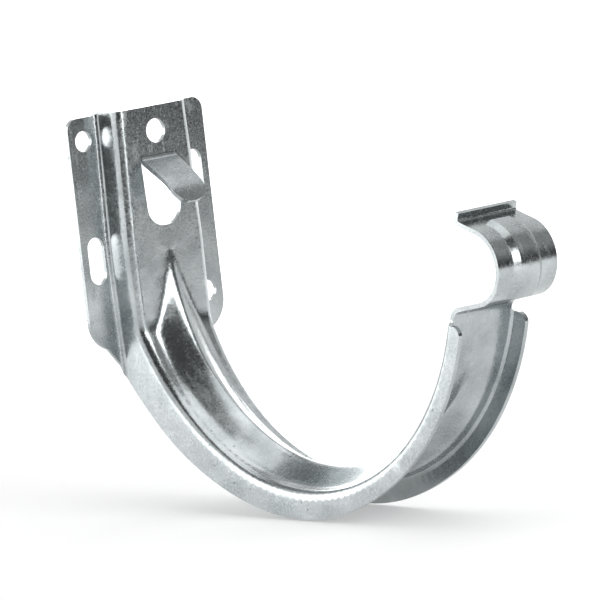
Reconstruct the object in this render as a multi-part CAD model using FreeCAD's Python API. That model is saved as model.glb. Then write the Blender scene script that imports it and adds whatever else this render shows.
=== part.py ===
# Half-round gutter bracket, pressed and folded from one sheet of galvanised steel.
#
# Frame: the wall is the plane x = 0 and the bracket stands out from it along +x.
# y runs along the gutter, z points up, and z = 0 is the height of the gutter's centre.
#
# The sheet is found as a press would form it. A full block is built behind the front skin,
# a second block behind the back skin, one sheet thickness deeper, and the second is taken
# from the first. The blank's outline, its holes and its window are then cut out.

import os
import math
import FreeCAD
import Part
from FreeCAD import Vector

os.makedirs("parts", exist_ok=True)

# Sheet
SHEET = 1.25               # thickness of the steel
FOLD_RADIUS = 1.5          # inside of the fold between a wing and its side wall
PANEL_EDGE_RADIUS = 3.2    # outside of the fold between the panel and its side walls
ARM_EDGE_RADIUS = 2.4      # outside of the fold between the web and the flanges

# Mounting plate
PLATE_WIDTH = 48.8
PLATE_TOP = 36.4           # height of the wings' top edge above the gutter's centre
PANEL_RISE = 0.7           # how much higher the raised panel's top edge lies
PLATE_CORNER = 3.5         # round at the top corners
WING_SIDE_HEIGHT = -26.4   # height at which a wing's side turns in, before rounding
WING_CORNER_RADIUS = 9.0   # round at that turn
NOTCH_WIDTH = 5.7          # from the wing's side to where its edge turns down to the arm
NOTCH_HEIGHT = -29.1
WING_END_WIDTH = 1.3       # from the panel's edge to where the wing's edge meets the side wall
WING_END_HEIGHT = -34.2
PANEL_FRONT = 9.8          # how far the raised panel stands off the wall
WING_WIDTH = 11.9          # across one wing and its side wall, at the top
PANEL_WIDENING = 2.0       # how much wider the panel is at the height of the gutter's centre
WALL_DRAFT = 9.0           # degrees, lean of the plate's side walls

# Holes in the plate
SCREW_HOLE = 5.8
SLOT_LENGTH = 13.2
HOLE_EDGE_WIDTH = 5.2      # from the plate's side to the middle of a row of holes
HOLE_HEIGHT = 29.8
SLOT_HEIGHT = -3.9
PATTERN_MIDDLE = 5.7       # the right-hand row is the left-hand one turned about this height
PANEL_HOLE = 6.8
PANEL_HOLE_HEIGHT = 30.1

# Tongue and its window
TONGUE_ROOT = 23.6         # height at which its bend leaves the panel
TONGUE_WIDTH = 12.6
TONGUE_TIP_WIDTH = 11.0
TONGUE_LENGTH = 19.8       # along the sheet
SHEAR_GAP = 0.25           # by which the window is larger all round than the flat tongue
TONGUE_BEND = 2.2          # middle radius of the bend at the root
TONGUE_SLOPE = 33.0        # degrees below level of the straight stretch
TONGUE_DROOP = 13.9        # middle radius of the curl towards the tip
TONGUE_TIP_SLOPE = 70.0

# Arm
GUTTER_RADIUS = 62.5       # to the ridge's crest, on which the gutter lies
RIDGE_HEIGHT = 4.8
RIDGE_SLOPE = 0.74         # rise of the ridge's flanks
RIDGE_ROUND = 1.1          # softness of its crest, 0 is sharp
RIDGE_FOOT = 1.1           # softness of its feet
RIDGE_FADE_START = 118.0   # degrees round the arm, 0 at the wall side and 90 at the bottom
ARM_WIDTH = 24.6
ARM_DRAFT = 2.5            # degrees, splay of the flanges
NARROWING_END = 60.0       # degrees round the arm where it has come down to its own width
FLANGE_DEPTHS = [(22, 12.3), (29, 12.3), (35, 11.6), (45, 10.9), (55, 10.0), (66, 9.0),
                 (78, 8.4), (92, 7.8), (109, 6.7), (124, 6.3), (140, 6.2), (154, 6.2)]

# Front end
ARM_TOP = -20.2            # where the flanges and the arm's full width end
NECK_CORNER = 1.5
FLANGE_CORNER = 3.2        # round at the flange's top outer corner
HOOK_WIDTH = 21.0
HOOK_FLOOR_HEIGHT = -14.75     # of the middle of the sheet under the gutter's bead
NECK_BEND = 4.2            # middle radius
NECK_SLOPE = 9.0           # degrees by which the neck still climbs towards the hook
BEAD_RADIUS = 9.35         # inside of the hook
BEAD_CENTRE_LENGTH = 147.75    # from the wall
HOOK_TURN = 161.5          # degrees, how far the hook goes round the bead
HOOK_STRAIGHT_LENGTH = 6.7
LIP_TURN = 95.0
LIP_BEND = 1.3
LIP_HEIGHT = 1.5
RIB_HEIGHT = 1.1
RIB_WIDTH = 10.0
RIB_SLOPE_WIDTH = 1.8      # across each of the rib's sides
RIB_START = 15.0           # degrees round the bead
RIB_RUN_OUT = 22.0         # degrees over which it rises
RIB_END = 2.5              # mm short of the lip

# Values that follow from the sizes above
PANEL_TOP_WIDTH = PLATE_WIDTH - 2 * WING_WIDTH
PANEL_WIDTH = PANEL_TOP_WIDTH + PANEL_WIDENING
HOLE_OFFSET = PLATE_WIDTH / 2 - HOLE_EDGE_WIDTH
CENTRE_OUT = PANEL_FRONT + GUTTER_RADIUS
STRIP_RADIUS = GUTTER_RADIUS + RIDGE_HEIGHT
BLOCK_DEPTH = 24.0
BLOCK_SIDE = 60.0
WEB_STEPS = 20             # points across the web, less one
ARM_STATIONS = [0, 2, 4, 6, 8, 10, 12, 14, 16, 18, 20, 22, 24, 27, 31, 36, 42, 49, 57, 66, 75,
                84, 93, 102, 111, 118, 123, 128, 133, 138, 143, 148, 153, 158]


def smooth_min(a, b, blend):
    """The lower of two values, rounded over where they cross."""
    if blend < 1e-6:
        return min(a, b)
    share = max(0.0, min(1.0, 0.5 + 0.5 * (b - a) / blend))
    return b + (a - b) * share - blend * share * (1.0 - share)


def ease(value, start, end):
    """0 before start, 1 after end, and a smooth S between them."""
    t = max(0.0, min(1.0, (value - start) / (end - start)))
    return t * t * (3.0 - 2.0 * t)


def polar(turn, radius, across=0.0):
    """A point round the gutter's axis, turn degrees from the wall side by way of the bottom."""
    angle = math.radians(turn)
    return Vector(CENTRE_OUT - radius * math.cos(angle), across, -radius * math.sin(angle))


def bead_centre(across=0.0):
    return Vector(BEAD_CENTRE_LENGTH, across, HOOK_FLOOR_HEIGHT + SHEET / 2 + BEAD_RADIUS)


def bead_tangent(angle):
    """Middle of the sheet where the hook has turned by this angle from level."""
    return bead_centre() + Vector(math.sin(angle), 0.0, -math.cos(angle)) * (BEAD_RADIUS + SHEET / 2)


def arm_end():
    """Degrees round the arm at which the neck's bend starts."""
    middle = STRIP_RADIUS + SHEET / 2
    slope = math.radians(NECK_SLOPE)
    start = bead_tangent(slope)
    height = start.z
    for _ in range(20):
        climb = math.pi / 2 + math.asin(height / middle)
        out = CENTRE_OUT + middle * math.sin(climb)
        neck = start.z + math.tan(slope) * (out + NECK_BEND * (math.sin(climb) - math.sin(slope))
                                            - start.x)
        height = neck - NECK_BEND * (math.cos(slope) - math.cos(climb))
    return 180.0 + math.degrees(math.asin(height / middle))


def strip_level(turn, skin):
    """Distance from the gutter's axis to the strips beside the ridge, for one skin."""
    lean = math.cos(math.radians(turn))
    if lean < 0.7:
        return STRIP_RADIUS + skin
    return smooth_min((GUTTER_RADIUS + skin) / lean, STRIP_RADIUS + skin, 0.9)


def ridge_rise(turn, across):
    """How far the ridge stands above the strips at one place across the sheet."""
    height = strip_level(turn, 0.0) - GUTTER_RADIUS
    flank = math.hypot(RIDGE_SLOPE * across, RIDGE_ROUND) - RIDGE_ROUND
    rise = height - smooth_min(height, flank, min(RIDGE_FOOT, 0.8 * height))
    return rise * (1.0 - ease(turn, RIDGE_FADE_START, arm_end() - 1.0))


def ridge_skin(turn, across, skin):
    """The ridge's rise, with the depth of the skin measured square to the slope."""
    slope = (ridge_rise(turn, across + 0.05) - ridge_rise(turn, across - 0.05)) / 0.1
    return ridge_rise(turn, across) - skin * (math.hypot(1.0, slope) - 1.0)


def channel_row(place, half, corner, draft, skin, rise):
    """Points across the channel behind one skin: side wall, rounded fold, web, and back.

    place turns a distance across the sheet and a depth behind the web into a point.
    """
    lean = math.radians(draft)
    radius = corner - skin
    edge = half + skin * math.tan(lean) - skin / math.cos(lean)
    tangent = radius * math.tan((math.pi / 2 - lean) / 2)
    flat = edge - tangent
    side_depth = tangent * math.cos(lean)
    right = []
    for part in (0.25, 0.5, 0.75):
        angle = part * (math.pi / 2 - lean)
        right.append((flat + radius * math.sin(angle), radius * (1.0 - math.cos(angle))))
    for share in (0.0, 0.04, 0.12, 0.28, 0.6, 1.0):
        depth = side_depth + share * (BLOCK_DEPTH - side_depth)
        right.append((edge + depth * math.tan(lean), depth))
    web = [flat * (2.0 * step / WEB_STEPS - 1.0) for step in range(WEB_STEPS + 1)]
    row = [place(-across, depth) for across, depth in reversed(right)]
    row += [place(across, -rise(across)) for across in web]
    return row + [place(across, depth) for across, depth in right]


def arm_row(turn, skin):
    """Points across the arm, in the plane that holds the gutter's axis."""
    share = ease(turn, 0.0, NARROWING_END)
    half = (PANEL_WIDTH + (ARM_WIDTH - PANEL_WIDTH) * share) / 2
    draft = WALL_DRAFT + (ARM_DRAFT - WALL_DRAFT) * share
    corner = PANEL_EDGE_RADIUS + (ARM_EDGE_RADIUS - PANEL_EDGE_RADIUS) * share
    level = strip_level(turn, skin)
    return channel_row(lambda across, depth: polar(turn, level + depth, across),
                       half, corner, draft, skin, lambda across: ridge_skin(turn, across, skin))


def panel_row(height, skin):
    """Points across the plate's raised part, at one level."""
    widening = (PANEL_WIDTH - PANEL_TOP_WIDTH) / PLATE_TOP
    half = (PANEL_WIDTH - widening * height) / 2
    front = PANEL_FRONT - skin
    return channel_row(lambda across, depth: Vector(front - depth, across, height),
                       half, PANEL_EDGE_RADIUS, WALL_DRAFT, skin, lambda across: 0.0)


def chord_shares(points):
    """Position of each point along the line through them, from 0 to 1."""
    lengths = [0.0]
    for before, after in zip(points, points[1:]):
        lengths.append(lengths[-1] + before.distanceToPoint(after))
    return [length / lengths[-1] for length in lengths]


def spline_through(points, shares):
    curve = Part.BSplineCurve()
    curve.interpolate(Points=list(points), Parameters=shares)
    return curve


def surface_through(rows):
    """Smooth surface through a grid of points: splines across it, then along it."""
    across = chord_shares(rows[0])
    along = chord_shares([row[len(row) // 2] for row in rows])
    row_splines = [spline_through(row, across) for row in rows]
    columns = zip(*[spline.getPoles() for spline in row_splines])
    column_splines = [spline_through(column, along) for column in columns]
    poles = [list(line) for line in zip(*[spline.getPoles() for spline in column_splines])]
    first, second = column_splines[0], row_splines[0]
    surface = Part.BSplineSurface()
    surface.buildFromPolesMultsKnots(poles, first.getMultiplicities(), second.getMultiplicities(),
                                     first.getKnots(), second.getKnots(), False, False, 3, 3)
    return surface


def channel_block(skin):
    """The raised panel and the arm behind one skin, closed far behind it."""
    top = PLATE_TOP + PANEL_RISE + 3.0
    rows = [panel_row(top * share, skin) for share in (1.0, 0.75, 0.5, 0.3, 0.15, 0.05)]
    rows += [arm_row(turn, skin) for turn in ARM_STATIONS + [arm_end()]]
    skin_face = surface_through(rows).toShape()
    sides = [edge_between(skin_face, rows[0][end], rows[-1][end]) for end in (0, -1)]
    back = Part.makeRuledSurface(sides[0], sides[1])
    caps = []
    for row in (rows[0], rows[-1]):
        across = edge_between(skin_face, row[0], row[-1])
        straight = edge_between(back, row[0], row[-1])
        caps.append(Part.Face(Part.Wire([across, straight])))
    shell = Part.makeShell([skin_face, back] + caps)
    shell.sewShape()
    solid = Part.makeSolid(shell)
    if solid.Volume < 0:
        solid.reverse()
    return solid


def edge_between(face, start, end):
    """The edge of a face whose two ends are these points."""
    for edge in face.Edges:
        points = [vertex.Point for vertex in edge.Vertexes]
        if len(points) == 2:
            for first, last in ((start, end), (end, start)):
                if first.distanceToPoint(points[0]) + last.distanceToPoint(points[1]) < 0.01:
                    return edge
    raise ValueError("no edge joins these points")


def is_fold(edge, front):
    """True for an edge where a side wall meets the wings' face."""
    points = [vertex.Point for vertex in edge.Vertexes]
    points.append(edge.valueAt((edge.FirstParameter + edge.LastParameter) / 2))
    on_face = all(abs(point.x - front) < 0.01 for point in points)
    return on_face and 3.0 < abs(points[-1].y) < BLOCK_SIDE / 2


def pressed_block(skin):
    """Everything behind one skin: the channel and the slab of the wings."""
    front = SHEET - skin
    foot = WING_END_HEIGHT - 8.0
    height = PLATE_TOP + PANEL_RISE + 1.5 - foot
    slab = Part.makeBox(BLOCK_SIDE + front, 2 * BLOCK_SIDE, height,
                        Vector(-BLOCK_SIDE, -BLOCK_SIDE, foot))
    block = channel_block(skin).fuse(slab)
    folds = [edge for edge in block.Edges if is_fold(edge, front)]
    return block.makeFillet(FOLD_RADIUS + skin, folds)


def rounded_face(corners):
    """Flat face with straight sides; each corner is a point and the radius that rounds it."""
    edges = []
    marks = []
    for index, (point, radius) in enumerate(corners):
        before = (corners[index - 1][0] - point).normalize()
        after = (corners[(index + 1) % len(corners)][0] - point).normalize()
        if radius < 1e-6:
            marks.append((point, point))
            continue
        half_angle = before.getAngle(after) / 2
        reach = radius / math.tan(half_angle)
        middle = (before + after).normalize() * (radius / math.sin(half_angle) - radius)
        marks.append((point + before * reach, point + after * reach))
        edges.append(Part.Arc(marks[-1][0], point + middle, marks[-1][1]).toShape())
    for index, (_, leave) in enumerate(marks):
        reach = marks[(index + 1) % len(marks)][0]
        if leave.distanceToPoint(reach) > 1e-4:
            edges.append(Part.LineSegment(leave, reach).toShape())
    return Part.Face(Part.Wire(Part.__sortEdges__(edges)))


def front_outline():
    """What is kept of the sheet seen from the front, drawn through the whole bracket."""
    side = PLATE_WIDTH / 2
    panel = PANEL_TOP_WIDTH / 2
    rise = PANEL_RISE
    inner = PANEL_WIDTH / 2 + WING_END_WIDTH
    right = [(panel, PLATE_TOP + rise, 2.0), (panel + 2.5, PLATE_TOP, 2.0),
             (side, PLATE_TOP, PLATE_CORNER), (side, WING_SIDE_HEIGHT, WING_CORNER_RADIUS),
             (side - NOTCH_WIDTH, NOTCH_HEIGHT, 2.0), (inner, WING_END_HEIGHT, 1.0),
             (inner, -2 * STRIP_RADIUS, 0.0)]
    left = [(-across, height, radius) for across, height, radius in reversed(right)]
    corners = [(Vector(-5.0, across, height), radius) for across, height, radius in right + left]
    return rounded_face(corners).extrude(Vector(200.0, 0.0, 0.0))


def side_outline():
    """What is kept of the sheet seen from the side: the flanges' outer edge bounds it."""
    edge = [polar(turn, STRIP_RADIUS + depth, -80.0) for turn, depth in FLANGE_DEPTHS]
    last_depth = FLANGE_DEPTHS[-1][1]
    turn = 180.0 + math.degrees(math.asin((ARM_TOP - FLANGE_CORNER) / (STRIP_RADIUS + last_depth)))
    edge.append(polar(turn, STRIP_RADIUS + last_depth, -80.0))
    curve = Part.BSplineCurve()
    curve.interpolate(edge)
    tip = edge[-1]
    lean = math.radians(180.0 - turn)
    reach = Vector(tip.x + FLANGE_CORNER * math.tan(lean) / 2, -80.0, ARM_TOP)
    inner = Vector(reach.x - FLANGE_CORNER, -80.0, ARM_TOP)
    round_middle = (tip + inner) * 0.5 + (reach - (tip + inner) * 0.5) * 0.42
    path = [inner, Vector(inner.x, -80.0, PLATE_TOP + 10.0), Vector(0.0, -80.0, PLATE_TOP + 10.0),
            Vector(0.0, -80.0, edge[0].z + 1.5), edge[0]]
    edges = [curve.toShape(), Part.Arc(tip, round_middle, inner).toShape()]
    edges += [Part.LineSegment(*pair).toShape() for pair in zip(path, path[1:])]
    return Part.Face(Part.Wire(edges)).extrude(Vector(0.0, 160.0, 0.0))


def neck_cuts():
    """What is cut away beside the neck, above the ends of the flanges."""
    cuts = []
    for side in (-1, 1):
        corners = [(HOOK_WIDTH / 2, 30.0, 0.0), (HOOK_WIDTH / 2, ARM_TOP, NECK_CORNER),
                   (40.0, ARM_TOP, 0.0), (40.0, 30.0, 0.0)]
        points = [(Vector(110.0, side * across, height), radius)
                  for across, height, radius in corners]
        cuts.append(rounded_face(points).extrude(Vector(60.0, 0.0, 0.0)))
    return cuts


def drilled(diameter, across, height):
    """Cutter for a round hole through the plate."""
    return Part.makeCylinder(diameter / 2, 40.0, Vector(-10.0, across, height), Vector(1, 0, 0))


def slotted(width, across, height, length):
    """Cutter for an upright slot with round ends."""
    radius = width / 2
    reach = length / 2 - radius
    corners = [Vector(-10.0, across + side * radius, height + end * reach)
               for side, end in ((1, -1), (1, 1), (-1, 1), (-1, -1))]
    head = Vector(-10.0, across, height + length / 2)
    foot = Vector(-10.0, across, height - length / 2)
    edges = [Part.LineSegment(corners[0], corners[1]).toShape(),
             Part.Arc(corners[1], head, corners[2]).toShape(),
             Part.LineSegment(corners[2], corners[3]).toShape(),
             Part.Arc(corners[3], foot, corners[0]).toShape()]
    return Part.Face(Part.Wire(edges)).extrude(Vector(40.0, 0.0, 0.0))


def plate_holes():
    """Cutters for the screw holes and slots; one row is the other turned half round."""
    turned = 2 * PATTERN_MIDDLE
    return [
        drilled(SCREW_HOLE, -HOLE_OFFSET, HOLE_HEIGHT),
        drilled(SCREW_HOLE, HOLE_OFFSET, turned - HOLE_HEIGHT),
        slotted(SCREW_HOLE, -HOLE_OFFSET, SLOT_HEIGHT, SLOT_LENGTH),
        slotted(SCREW_HOLE, HOLE_OFFSET, turned - SLOT_HEIGHT, SLOT_LENGTH),
        drilled(PANEL_HOLE, 0.0, PANEL_HOLE_HEIGHT),
    ]


def tongue_outline(length, gap, place):
    """Outline of the tongue laid flat; place turns across and along into a point."""
    root = TONGUE_WIDTH / 2 + gap
    tip = TONGUE_TIP_WIDTH / 2 + gap
    foot = length + gap
    corners = [(-root, 0.0, 0.0), (-tip, foot, 0.93 * tip), (tip, foot, 0.93 * tip),
               (root, 0.0, 0.0)]
    return rounded_face([(place(across, along), radius) for across, along, radius in corners])


def window():
    """Cutter for the opening the tongue leaves in the panel."""
    face = tongue_outline(TONGUE_LENGTH, SHEAR_GAP,
                          lambda across, along: Vector(4.0, across, TONGUE_ROOT - along))
    return face.extrude(Vector(10.0, 0.0, 0.0))


class Path:
    """Middle line of a strip seen from the side, built up from straights and bends."""

    def __init__(self, out, height, heading):
        self.out = out
        self.height = height
        self.heading = math.radians(heading)
        self.pieces = []

    def side_point(self, shift):
        return Vector(self.out - shift * math.sin(self.heading), 0.0,
                      self.height + shift * math.cos(self.heading))

    def straight(self, length):
        start = (self.side_point(SHEET / 2), self.side_point(-SHEET / 2))
        self.out += length * math.cos(self.heading)
        self.height += length * math.sin(self.heading)
        end = (self.side_point(SHEET / 2), self.side_point(-SHEET / 2))
        self.pieces.append((start, None, end))

    def bend(self, radius, turn):
        """Turn by so many degrees, to the left if positive."""
        start = (self.side_point(SHEET / 2), self.side_point(-SHEET / 2))
        self.turn_by(radius, turn / 2)
        middle = (self.side_point(SHEET / 2), self.side_point(-SHEET / 2))
        self.turn_by(radius, turn / 2)
        end = (self.side_point(SHEET / 2), self.side_point(-SHEET / 2))
        self.pieces.append((start, middle, end))

    def turn_by(self, radius, turn):
        side = math.copysign(radius, turn)
        centre = self.side_point(side)
        self.heading += math.radians(turn)
        self.out = centre.x + side * math.sin(self.heading)
        self.height = centre.z - side * math.cos(self.heading)

    def strip(self, width):
        """Solid of the sheet along the path, of one width."""
        left = [path_edge(start[0], middle and middle[0], end[0])
                for start, middle, end in self.pieces]
        right = [path_edge(start[1], middle and middle[1], end[1])
                 for start, middle, end in self.pieces]
        first = self.pieces[0][0]
        last = self.pieces[-1][2]
        caps = [Part.LineSegment(*first).toShape(), Part.LineSegment(*last).toShape()]
        face = Part.Face(Part.Wire(Part.__sortEdges__(left + right + caps)))
        face.translate(Vector(0.0, -width / 2, 0.0))
        return face.extrude(Vector(0.0, width, 0.0))


def path_edge(start, middle, end):
    if middle is None:
        return Part.LineSegment(start, end).toShape()
    return Part.Arc(start, middle, end).toShape()


def tongue():
    """The tongue, bent out of the panel and curled down towards its tip."""
    path = Path(PANEL_FRONT - SHEET / 2, TONGUE_ROOT, -90.0)
    path.bend(TONGUE_BEND, 90.0 - TONGUE_SLOPE)
    curl = math.radians(TONGUE_TIP_SLOPE - TONGUE_SLOPE) * TONGUE_DROOP
    root = math.radians(90.0 - TONGUE_SLOPE) * TONGUE_BEND
    path.straight(TONGUE_LENGTH - curl - root)
    path.bend(TONGUE_DROOP, TONGUE_SLOPE - TONGUE_TIP_SLOPE)
    strip = path.strip(TONGUE_WIDTH)
    slope = math.radians(TONGUE_SLOPE + 0.55 * (TONGUE_TIP_SLOPE - TONGUE_SLOPE))
    along_tip = Vector(math.cos(slope), 0.0, -math.sin(slope))
    square = Vector(math.sin(slope), 0.0, math.cos(slope))
    tip = Vector(path.out, 0.0, path.height)
    reach = (tip - Vector(PANEL_FRONT - SHEET, 0.0, TONGUE_ROOT)).dot(along_tip)

    def place(across, along):
        return tip + along_tip * (along - reach) + Vector(0.0, across, 0.0) - square * 20.0

    return strip.common(tongue_outline(reach, 0.0, place).extrude(square * 40.0))


def hook_strip():
    """Neck, hook round the gutter's bead and lip, as one plain strip."""
    turn = arm_end()
    start = polar(turn, STRIP_RADIUS + SHEET / 2)
    climb = turn - 90.0
    path = Path(start.x, start.z, climb)
    path.bend(NECK_BEND, NECK_SLOPE - climb)
    bead = bead_tangent(math.radians(NECK_SLOPE))
    path.straight(math.hypot(bead.x - path.out, bead.z - path.height))
    path.bend(BEAD_RADIUS + SHEET / 2, HOOK_TURN - NECK_SLOPE)
    path.straight(HOOK_STRAIGHT_LENGTH)
    path.bend(LIP_BEND, -LIP_TURN)
    path.straight(LIP_HEIGHT)
    return path.strip(HOOK_WIDTH)


def hook_point(along, across, radius):
    """A point beside the hook: along is degrees round the bead, then mm on the straight."""
    angle = math.radians(min(along, HOOK_TURN))
    point = bead_centre(across) + Vector(math.sin(angle), 0.0, -math.cos(angle)) * radius
    return point + Vector(math.cos(angle), 0.0, math.sin(angle)) * max(0.0, along - HOOK_TURN)


def rib_solid(skin):
    """Bulge of the rib above one skin of the hook, with sloped sides and ends."""
    level = BEAD_RADIUS + SHEET - skin
    stop = HOOK_TURN + HOOK_STRAIGHT_LENGTH - RIB_END
    start = RIB_START + RIB_RUN_OUT
    stations = [(RIB_START, 0.0), (start, 1.0)]
    count = 9
    stations += [(start + (HOOK_TURN - 1.0 - start) * step / count, 1.0)
                 for step in range(1, count + 1)]
    stations += [(HOOK_TURN + 1.0, 1.0), (stop - 2.0, 1.0), (stop, 0.0)]
    wires = [rib_wire(along, share, level, skin) for along, share in stations]
    runs = [wires[0:2], wires[1:-1], wires[-2:]]
    solids = [Part.makeLoft(run, True, len(run) == 2) for run in runs]
    return solids[0].fuse(solids[1:])


def rib_wire(along, share, level, skin):
    """Section of the rib's bulge: a low trapezium whose foot is sunk into the sheet."""
    sunk = 0.2
    narrow = skin * 0.35
    top = RIB_WIDTH / 2 - RIB_SLOPE_WIDTH - narrow
    foot = RIB_WIDTH / 2 - narrow + sunk * RIB_SLOPE_WIDTH / RIB_HEIGHT
    rise = RIB_HEIGHT * share
    outline = [(-foot, -sunk), (-top, rise), (top, rise), (foot, -sunk)]
    points = [hook_point(along, across, level + up) for across, up in outline]
    return Part.makePolygon(points + [points[0]])


def hook():
    """The hook with its rib pressed outwards."""
    ribbed = hook_strip().fuse(rib_solid(0.0))
    return ribbed.cut(rib_solid(SHEET)).removeSplitter()


def bracket():
    sheet = pressed_block(0.0).cut(pressed_block(SHEET))
    sheet = sheet.common(front_outline()).common(side_outline())
    sheet = sheet.cut(neck_cuts() + plate_holes() + [window()])
    return sheet.fuse([tongue(), hook()]).removeSplitter()


shape = bracket()
print("valid", shape.isValid(), "solids", len(shape.Solids))
shape.Solids[0].exportStep("parts/gutter_bracket.step")
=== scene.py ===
# %% [markdown]
# This scene shows a half-round gutter bracket. The real one is cut from a strip of galvanised
# steel and pressed into one piece: a wall plate with two wings, an arm with a ridge along its
# middle, and a hook that holds the gutter's front bead. Its shape comes from the imported model,
# which is loaded here as a fixed frame and never changed. What is added here is the zinc finish,
# the light and the camera.

# %% Load the imported bracket
import math

import bpy
from mathutils import Matrix, Vector

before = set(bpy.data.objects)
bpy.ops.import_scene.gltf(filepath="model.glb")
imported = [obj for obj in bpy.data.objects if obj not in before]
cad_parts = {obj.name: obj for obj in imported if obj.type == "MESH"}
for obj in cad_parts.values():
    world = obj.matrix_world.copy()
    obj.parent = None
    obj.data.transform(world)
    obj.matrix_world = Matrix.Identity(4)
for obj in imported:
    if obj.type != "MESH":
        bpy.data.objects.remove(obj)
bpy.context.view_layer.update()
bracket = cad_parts["gutter_bracket"]
print("bracket triangles:", len(bracket.data.polygons))

# %% [markdown]
# The photograph was taken from a good distance with a long lens, from a little above the bracket
# and from the side of its open front, and with a slight roll. A long lens keeps parallel edges
# almost parallel, so the hook doesn't look swollen beside the plate. The camera's three directions
# are written down as a matrix, because a roll is easily lost when a constraint aims the camera.

# %% Camera directions
AZIMUTH = math.radians(50.15)
ELEVATION = math.radians(7.05)
ROLL = math.radians(-6.51)

back = Vector((math.sin(AZIMUTH) * math.cos(ELEVATION),
               -math.cos(AZIMUTH) * math.cos(ELEVATION),
               math.sin(ELEVATION)))
level_right = Vector((math.cos(AZIMUTH), math.sin(AZIMUTH), 0.0))
level_up = back.cross(level_right)
right = math.cos(ROLL) * level_right + math.sin(ROLL) * level_up
up = -math.sin(ROLL) * level_right + math.cos(ROLL) * level_up
print("camera looks along:", [round(-value, 3) for value in back])

# % Camera
AIM = Vector((0.065052, -0.000994, -0.016571))
DISTANCE = 1.81019
LENS_MM = 397.419
SENSOR_MM = 36.0

camera_data = bpy.data.cameras.new("camera")
camera = bpy.data.objects.new("camera", camera_data)
bpy.context.scene.collection.objects.link(camera)
place = AIM + back * DISTANCE
camera.matrix_world = Matrix((
    (right.x, up.x, back.x, place.x),
    (right.y, up.y, back.y, place.y),
    (right.z, up.z, back.z, place.z),
    (0.0, 0.0, 0.0, 1.0),
))
camera_data.sensor_width = SENSOR_MM
camera_data.lens = LENS_MM
camera_data.clip_start = 0.1
camera_data.clip_end = 20.0
bpy.context.scene.camera = camera
print("lens in mm:", LENS_MM)

# %% [markdown]
# Galvanised sheet is steel dipped in molten zinc. The coat is a dull grey metal, never quite
# even: clouds of a lighter and a darker grey about a centimetre across, a fine grain that
# glitters, small pits, and streaks where sheets and tools have rubbed. All of it is made from
# noise on object coordinates, so it needs no picture and stays in place on the metal when the
# bracket is seen from another side. First come small helpers that keep the recipe short.

# %% Helpers for the finish
def add_noise(tree, vector, scale, detail, stretch=(1.0, 1.0, 1.0)):
    """Noise on object coordinates; scale is in lumps to the metre."""
    mapping = tree.nodes.new("ShaderNodeMapping")
    mapping.inputs["Scale"].default_value = stretch
    tree.links.new(vector, mapping.inputs["Vector"])
    noise = tree.nodes.new("ShaderNodeTexNoise")
    noise.inputs["Scale"].default_value = scale
    noise.inputs["Detail"].default_value = detail
    tree.links.new(mapping.outputs["Vector"], noise.inputs["Vector"])
    return noise.outputs["Fac"]


def remap(tree, value, low, high, new_low, new_high):
    """Stretches the range low to high onto new_low to new_high, and cuts off what lies beyond."""
    node = tree.nodes.new("ShaderNodeMapRange")
    node.clamp = True
    for socket, number in zip(("From Min", "From Max", "To Min", "To Max"),
                              (low, high, new_low, new_high)):
        node.inputs[socket].default_value = number
    tree.links.new(value, node.inputs["Value"])
    return node.outputs["Result"]


def combine(tree, kind, *values):
    """Adds, multiplies or otherwise joins values; a plain number goes into its socket."""
    node = tree.nodes.new("ShaderNodeMath")
    node.operation = kind
    for socket, value in zip(node.inputs, values):
        if isinstance(value, float):
            socket.default_value = value
        else:
            tree.links.new(value, socket)
    return node.outputs["Value"]


# %% [markdown]
# The finish itself. The clouds and the grain are added up to one brightness, which a colour ramp
# turns into greys with a trace of blue. The pits are the centres of a cell pattern, kept only
# where a coarse noise is high, so that they come in loose groups. The same values drive the
# roughness, because a dull patch of zinc is both darker and rougher, and a weak bump.

# %% Sizes of the finish, in lumps to the metre
CLOUD_SCALE = 95.0
GRAIN_SCALE = 1500.0
PIT_SCALE = 330.0
PIT_GROUP_SCALE = 60.0
STREAK_SCALE = 420.0
STREAK_STRETCH = (0.16, 1.0, 0.3)

# %% Greys and roughness of the finish
DARK_ZINC = (0.24, 0.265, 0.275, 1.0)
LIGHT_ZINC = (0.625, 0.66, 0.668, 1.0)
BASE_SHADE = 0.18
CLOUD_SHADE = 0.40
GRAIN_SHADE = 0.20
PIT_SHADE = 0.5
DULL_ROUGHNESS = 0.21
BRIGHT_ROUGHNESS = 0.15
GRAIN_ROUGHNESS = 0.09
STREAK_ROUGHNESS = 0.12
BUMP_STRENGTH = 0.055
BUMP_DEPTH = 0.00012


# %% Patterns of the finish
def soft_noise(tree, place, scale, detail):
    """Noise spread over the whole range from 0 to 1."""
    return remap(tree, add_noise(tree, place, scale, detail), 0.3, 0.7, 0.0, 1.0)


def pit_pattern(tree, place):
    """1 in the pits and 0 elsewhere."""
    cells = tree.nodes.new("ShaderNodeTexVoronoi")
    cells.inputs["Scale"].default_value = PIT_SCALE
    tree.links.new(place, cells.inputs["Vector"])
    spots = remap(tree, cells.outputs["Distance"], 0.07, 0.16, 1.0, 0.0)
    groups = remap(tree, add_noise(tree, place, PIT_GROUP_SCALE, 2.0), 0.52, 0.6, 0.0, 1.0)
    return combine(tree, "MULTIPLY", spots, groups)


def streak_pattern(tree, place):
    """1 in the rubbed streaks and 0 elsewhere."""
    noise = add_noise(tree, place, STREAK_SCALE, 3.0, STREAK_STRETCH)
    return remap(tree, noise, 0.56, 0.72, 0.0, 1.0)


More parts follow.
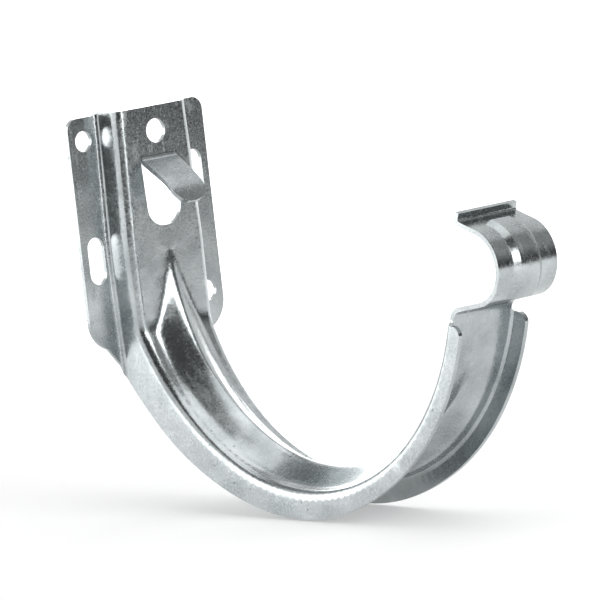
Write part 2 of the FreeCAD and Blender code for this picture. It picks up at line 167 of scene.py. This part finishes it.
# %% Galvanised steel
def galvanised_steel():
    material = bpy.data.materials.new("galvanised_steel")
    material.use_nodes = True
    tree = material.node_tree
    shader = tree.nodes["Principled BSDF"]
    shader.inputs["Metallic"].default_value = 1.0
    place = tree.nodes.new("ShaderNodeTexCoord").outputs["Object"]
    clouds = soft_noise(tree, place, CLOUD_SCALE, 4.0)
    grain = soft_noise(tree, place, GRAIN_SCALE, 2.0)
    pits = pit_pattern(tree, place)
    streaks = streak_pattern(tree, place)

    shade = combine(tree, "MULTIPLY_ADD", clouds, CLOUD_SHADE, BASE_SHADE)
    speckle = combine(tree, "MULTIPLY_ADD", grain, GRAIN_SHADE, shade)
    worn = combine(tree, "SUBTRACT", speckle, combine(tree, "MULTIPLY", pits, PIT_SHADE))
    ramp = tree.nodes.new("ShaderNodeValToRGB")
    ramp.color_ramp.elements[0].color = DARK_ZINC
    ramp.color_ramp.elements[1].color = LIGHT_ZINC
    tree.links.new(worn, ramp.inputs["Fac"])
    tree.links.new(ramp.outputs["Color"], shader.inputs["Base Color"])

    dullness = remap(tree, clouds, 0.0, 1.0, DULL_ROUGHNESS, BRIGHT_ROUGHNESS)
    grainy = combine(tree, "MULTIPLY_ADD", grain, GRAIN_ROUGHNESS, dullness)
    rubbed = combine(tree, "MULTIPLY_ADD", streaks, STREAK_ROUGHNESS, grainy)
    tree.links.new(rubbed, shader.inputs["Roughness"])

    height = combine(tree, "SUBTRACT", combine(tree, "MULTIPLY", grain, 0.6), pits)
    bump = tree.nodes.new("ShaderNodeBump")
    bump.inputs["Strength"].default_value = BUMP_STRENGTH
    bump.inputs["Distance"].default_value = BUMP_DEPTH
    tree.links.new(height, bump.inputs["Height"])
    tree.links.new(bump.outputs["Normal"], shader.inputs["Normal"])
    return material


steel = galvanised_steel()
for slot in bracket.material_slots:
    slot.material = steel
print("slots dressed:", len(bracket.material_slots))

# %% [markdown]
# In the photograph the bracket stands against plain white, with a soft grey shadow under the
# arm. A pale floor just below the arm takes the shadow. The floor glows and the world is white
# only for what the camera sees, directly or in a reflection, so the background is white while
# the light on the bracket stays at a plain level. The glow grows with the distance, so that it
# leaves the shadow alone.

# %% A value that is 1 for what the camera sees, directly or by reflection
def seen_by_camera(tree):
    path = tree.nodes.new("ShaderNodeLightPath")
    direct = combine(tree, "MAXIMUM", path.outputs["Is Camera Ray"], path.outputs["Is Glossy Ray"])
    return combine(tree, "MAXIMUM", direct, path.outputs["Is Transmission Ray"])


# %% Floor
FLOOR_LEVEL = -0.0757
FLOOR_SIZE = 5.0
FLOOR_GREY = (0.72, 0.72, 0.72, 1.0)
WHITE = (1.0, 1.0, 1.0, 1.0)
NEAR_GLOW = 0.32
FAR_GLOW = 1.0
NEAR = 0.16
FAR = 0.64

bpy.ops.mesh.primitive_plane_add(size=FLOOR_SIZE, location=(0.0, 0.0, FLOOR_LEVEL))
floor = bpy.context.object
floor.name = "floor"
paint = bpy.data.materials.new("floor_white")
paint.use_nodes = True
tree = paint.node_tree
shader = tree.nodes["Principled BSDF"]
shader.inputs["Base Color"].default_value = FLOOR_GREY
shader.inputs["Roughness"].default_value = 0.9
shader.inputs["Specular IOR Level"].default_value = 0.0
shader.inputs["Emission Color"].default_value = WHITE
spot = tree.nodes.new("ShaderNodeTexCoord").outputs["Object"]
away = tree.nodes.new("ShaderNodeVectorMath")
away.operation = "LENGTH"
tree.links.new(spot, away.inputs[0])
glow = remap(tree, away.outputs["Value"], NEAR, FAR, NEAR_GLOW, FAR_GLOW)
seen_glow = combine(tree, "MULTIPLY", seen_by_camera(tree), glow)
tree.links.new(seen_glow, shader.inputs["Emission Strength"])
floor.data.materials.append(paint)
print("floor at", FLOOR_LEVEL)

# %% World
WORLD_LIGHT = 0.6

world = bpy.data.worlds.new("studio")
bpy.context.scene.world = world
world.use_nodes = True
tree = world.node_tree
sky = tree.nodes["Background"]
sky.inputs["Color"].default_value = WHITE
strength = combine(tree, "MAXIMUM", seen_by_camera(tree), WORLD_LIGHT)
tree.links.new(strength, sky.inputs["Strength"])
print("world is white to the camera, light on the bracket:", WORLD_LIGHT)

# %% [markdown]
# Bare metal is mostly a picture of what stands round it. Between white walls it would look like
# chalk, so photographers put dark boards, called flags, on the camera's side: they give the ridge
# and the hook their dark bands. There are two here, curved round the bracket and lighter towards
# the top, and a grey ceiling above. The camera looks straight through them, but reflections and
# the light in the room meet them.

# %% A board that the camera looks through
MIDDLE = Vector((0.07, 0.0, 0.0))


def board(name, points, faces, low, high, dark, light):
    """A stage surface whose grey goes from dark to light between two heights."""
    mesh = bpy.data.meshes.new(name)
    mesh.from_pydata(points, [], faces)
    surface = bpy.data.objects.new(name, mesh)
    bpy.context.scene.collection.objects.link(surface)
    cloth = bpy.data.materials.new(name)
    cloth.use_nodes = True
    tree = cloth.node_tree
    tree.nodes.remove(tree.nodes["Principled BSDF"])
    place = tree.nodes.new("ShaderNodeTexCoord").outputs["Object"]
    split = tree.nodes.new("ShaderNodeSeparateXYZ")
    tree.links.new(place, split.inputs["Vector"])
    grey = tree.nodes.new("ShaderNodeEmission")
    shade = remap(tree, split.outputs["Z"], low, high, dark, light)
    tree.links.new(shade, grey.inputs["Strength"])
    path = tree.nodes.new("ShaderNodeLightPath")
    clear = tree.nodes.new("ShaderNodeBsdfTransparent")
    mix = tree.nodes.new("ShaderNodeMixShader")
    tree.links.new(path.outputs["Is Camera Ray"], mix.inputs["Fac"])
    tree.links.new(grey.outputs["Emission"], mix.inputs[1])
    tree.links.new(clear.outputs["BSDF"], mix.inputs[2])
    tree.links.new(mix.outputs["Shader"], tree.nodes["Material Output"].inputs["Surface"])
    surface.data.materials.append(cloth)


# %% Flags
FLAG_RADIUS = 0.62
FLAG_TOP = 1.10
FLAG_STEPS = 24
FLAG_DARK_UP_TO = FLOOR_LEVEL + 0.09
FLAG_LIGHT_FROM = FLOOR_LEVEL + 0.33


def flag(name, first, last, dark, light):
    """Part of an upright tube round the bracket, between two angles from the x axis."""
    points = []
    for step in range(FLAG_STEPS + 1):
        angle = math.radians(first + (last - first) * step / FLAG_STEPS)
        outward = Vector((math.cos(angle), math.sin(angle), 0.0)) * FLAG_RADIUS
        for level in (FLOOR_LEVEL, FLAG_TOP):
            points.append(MIDDLE + outward + Vector((0.0, 0.0, level)))
    faces = [(foot, foot + 1, foot + 3, foot + 2) for foot in range(0, 2 * FLAG_STEPS, 2)]
    board(name, points, faces, FLAG_DARK_UP_TO, FLAG_LIGHT_FROM, dark, light)


flag("left_flag", -80.0, 2.0, 0.03, 0.06)
flag("right_flag", 2.0, 70.0, 0.03, 0.34)
print("flags stand", FLAG_RADIUS, "m from the bracket")

# %% Ceiling
CEILING_LEVEL = 1.10
CEILING_REACH = 1.0
CEILING_GREY = 0.25

corners = [MIDDLE + Vector((side * CEILING_REACH, depth * CEILING_REACH, CEILING_LEVEL))
           for side, depth in ((-1, -1), (1, -1), (1, 1), (-1, 1))]
board("ceiling", corners, [(0, 1, 2, 3)], FLOOR_LEVEL, CEILING_LEVEL, CEILING_GREY, CEILING_GREY)
print("ceiling at", CEILING_LEVEL)

# %% [markdown]
# Four soft boxes of modest power do the lighting. The front one gives the white wedge on the
# ridge and the glint on the hook, so it is a slanting strip. The left one brightens the flange
# and the cut edges, the one behind brightens the foot of the ridge, and the one overhead casts
# the soft shadow on the floor.

# %% Soft boxes
def softbox(name, direction, distance, width, height, power, turn=0.0):
    """A flat lamp that faces the bracket, turned about its own axis by so many degrees."""
    lamp_data = bpy.data.lights.new(name, "AREA")
    lamp_data.shape = "RECTANGLE"
    lamp_data.size = width
    lamp_data.size_y = height
    lamp_data.energy = power
    lamp = bpy.data.objects.new(name, lamp_data)
    bpy.context.scene.collection.objects.link(lamp)
    towards = Vector(direction).normalized()
    stand = Matrix.Translation(MIDDLE + towards * distance)
    aim = (-towards).to_track_quat("-Z", "Y").to_matrix().to_4x4()
    roll = Matrix.Rotation(math.radians(turn), 4, "Z")
    lamp.matrix_world = stand @ aim @ roll
    lamp.visible_camera = False


softbox("front", (0.94, -0.03, 0.35), 0.56, 0.55, 0.27, 2.0, 42.0)
softbox("left", (-0.75, -0.64, 0.16), 1.0, 0.8, 0.7, 3.8)
softbox("behind", (-0.75, 0.64, 0.19), 1.0, 0.9, 0.35, 3.0)
softbox("overhead", (0.0, 0.18, 1.0), 0.9, 1.0, 0.95, 4.2)
print("lamps:", [lamp.name for lamp in bpy.data.lights])

# %% View settings
bpy.context.scene.view_settings.view_transform = "Standard"
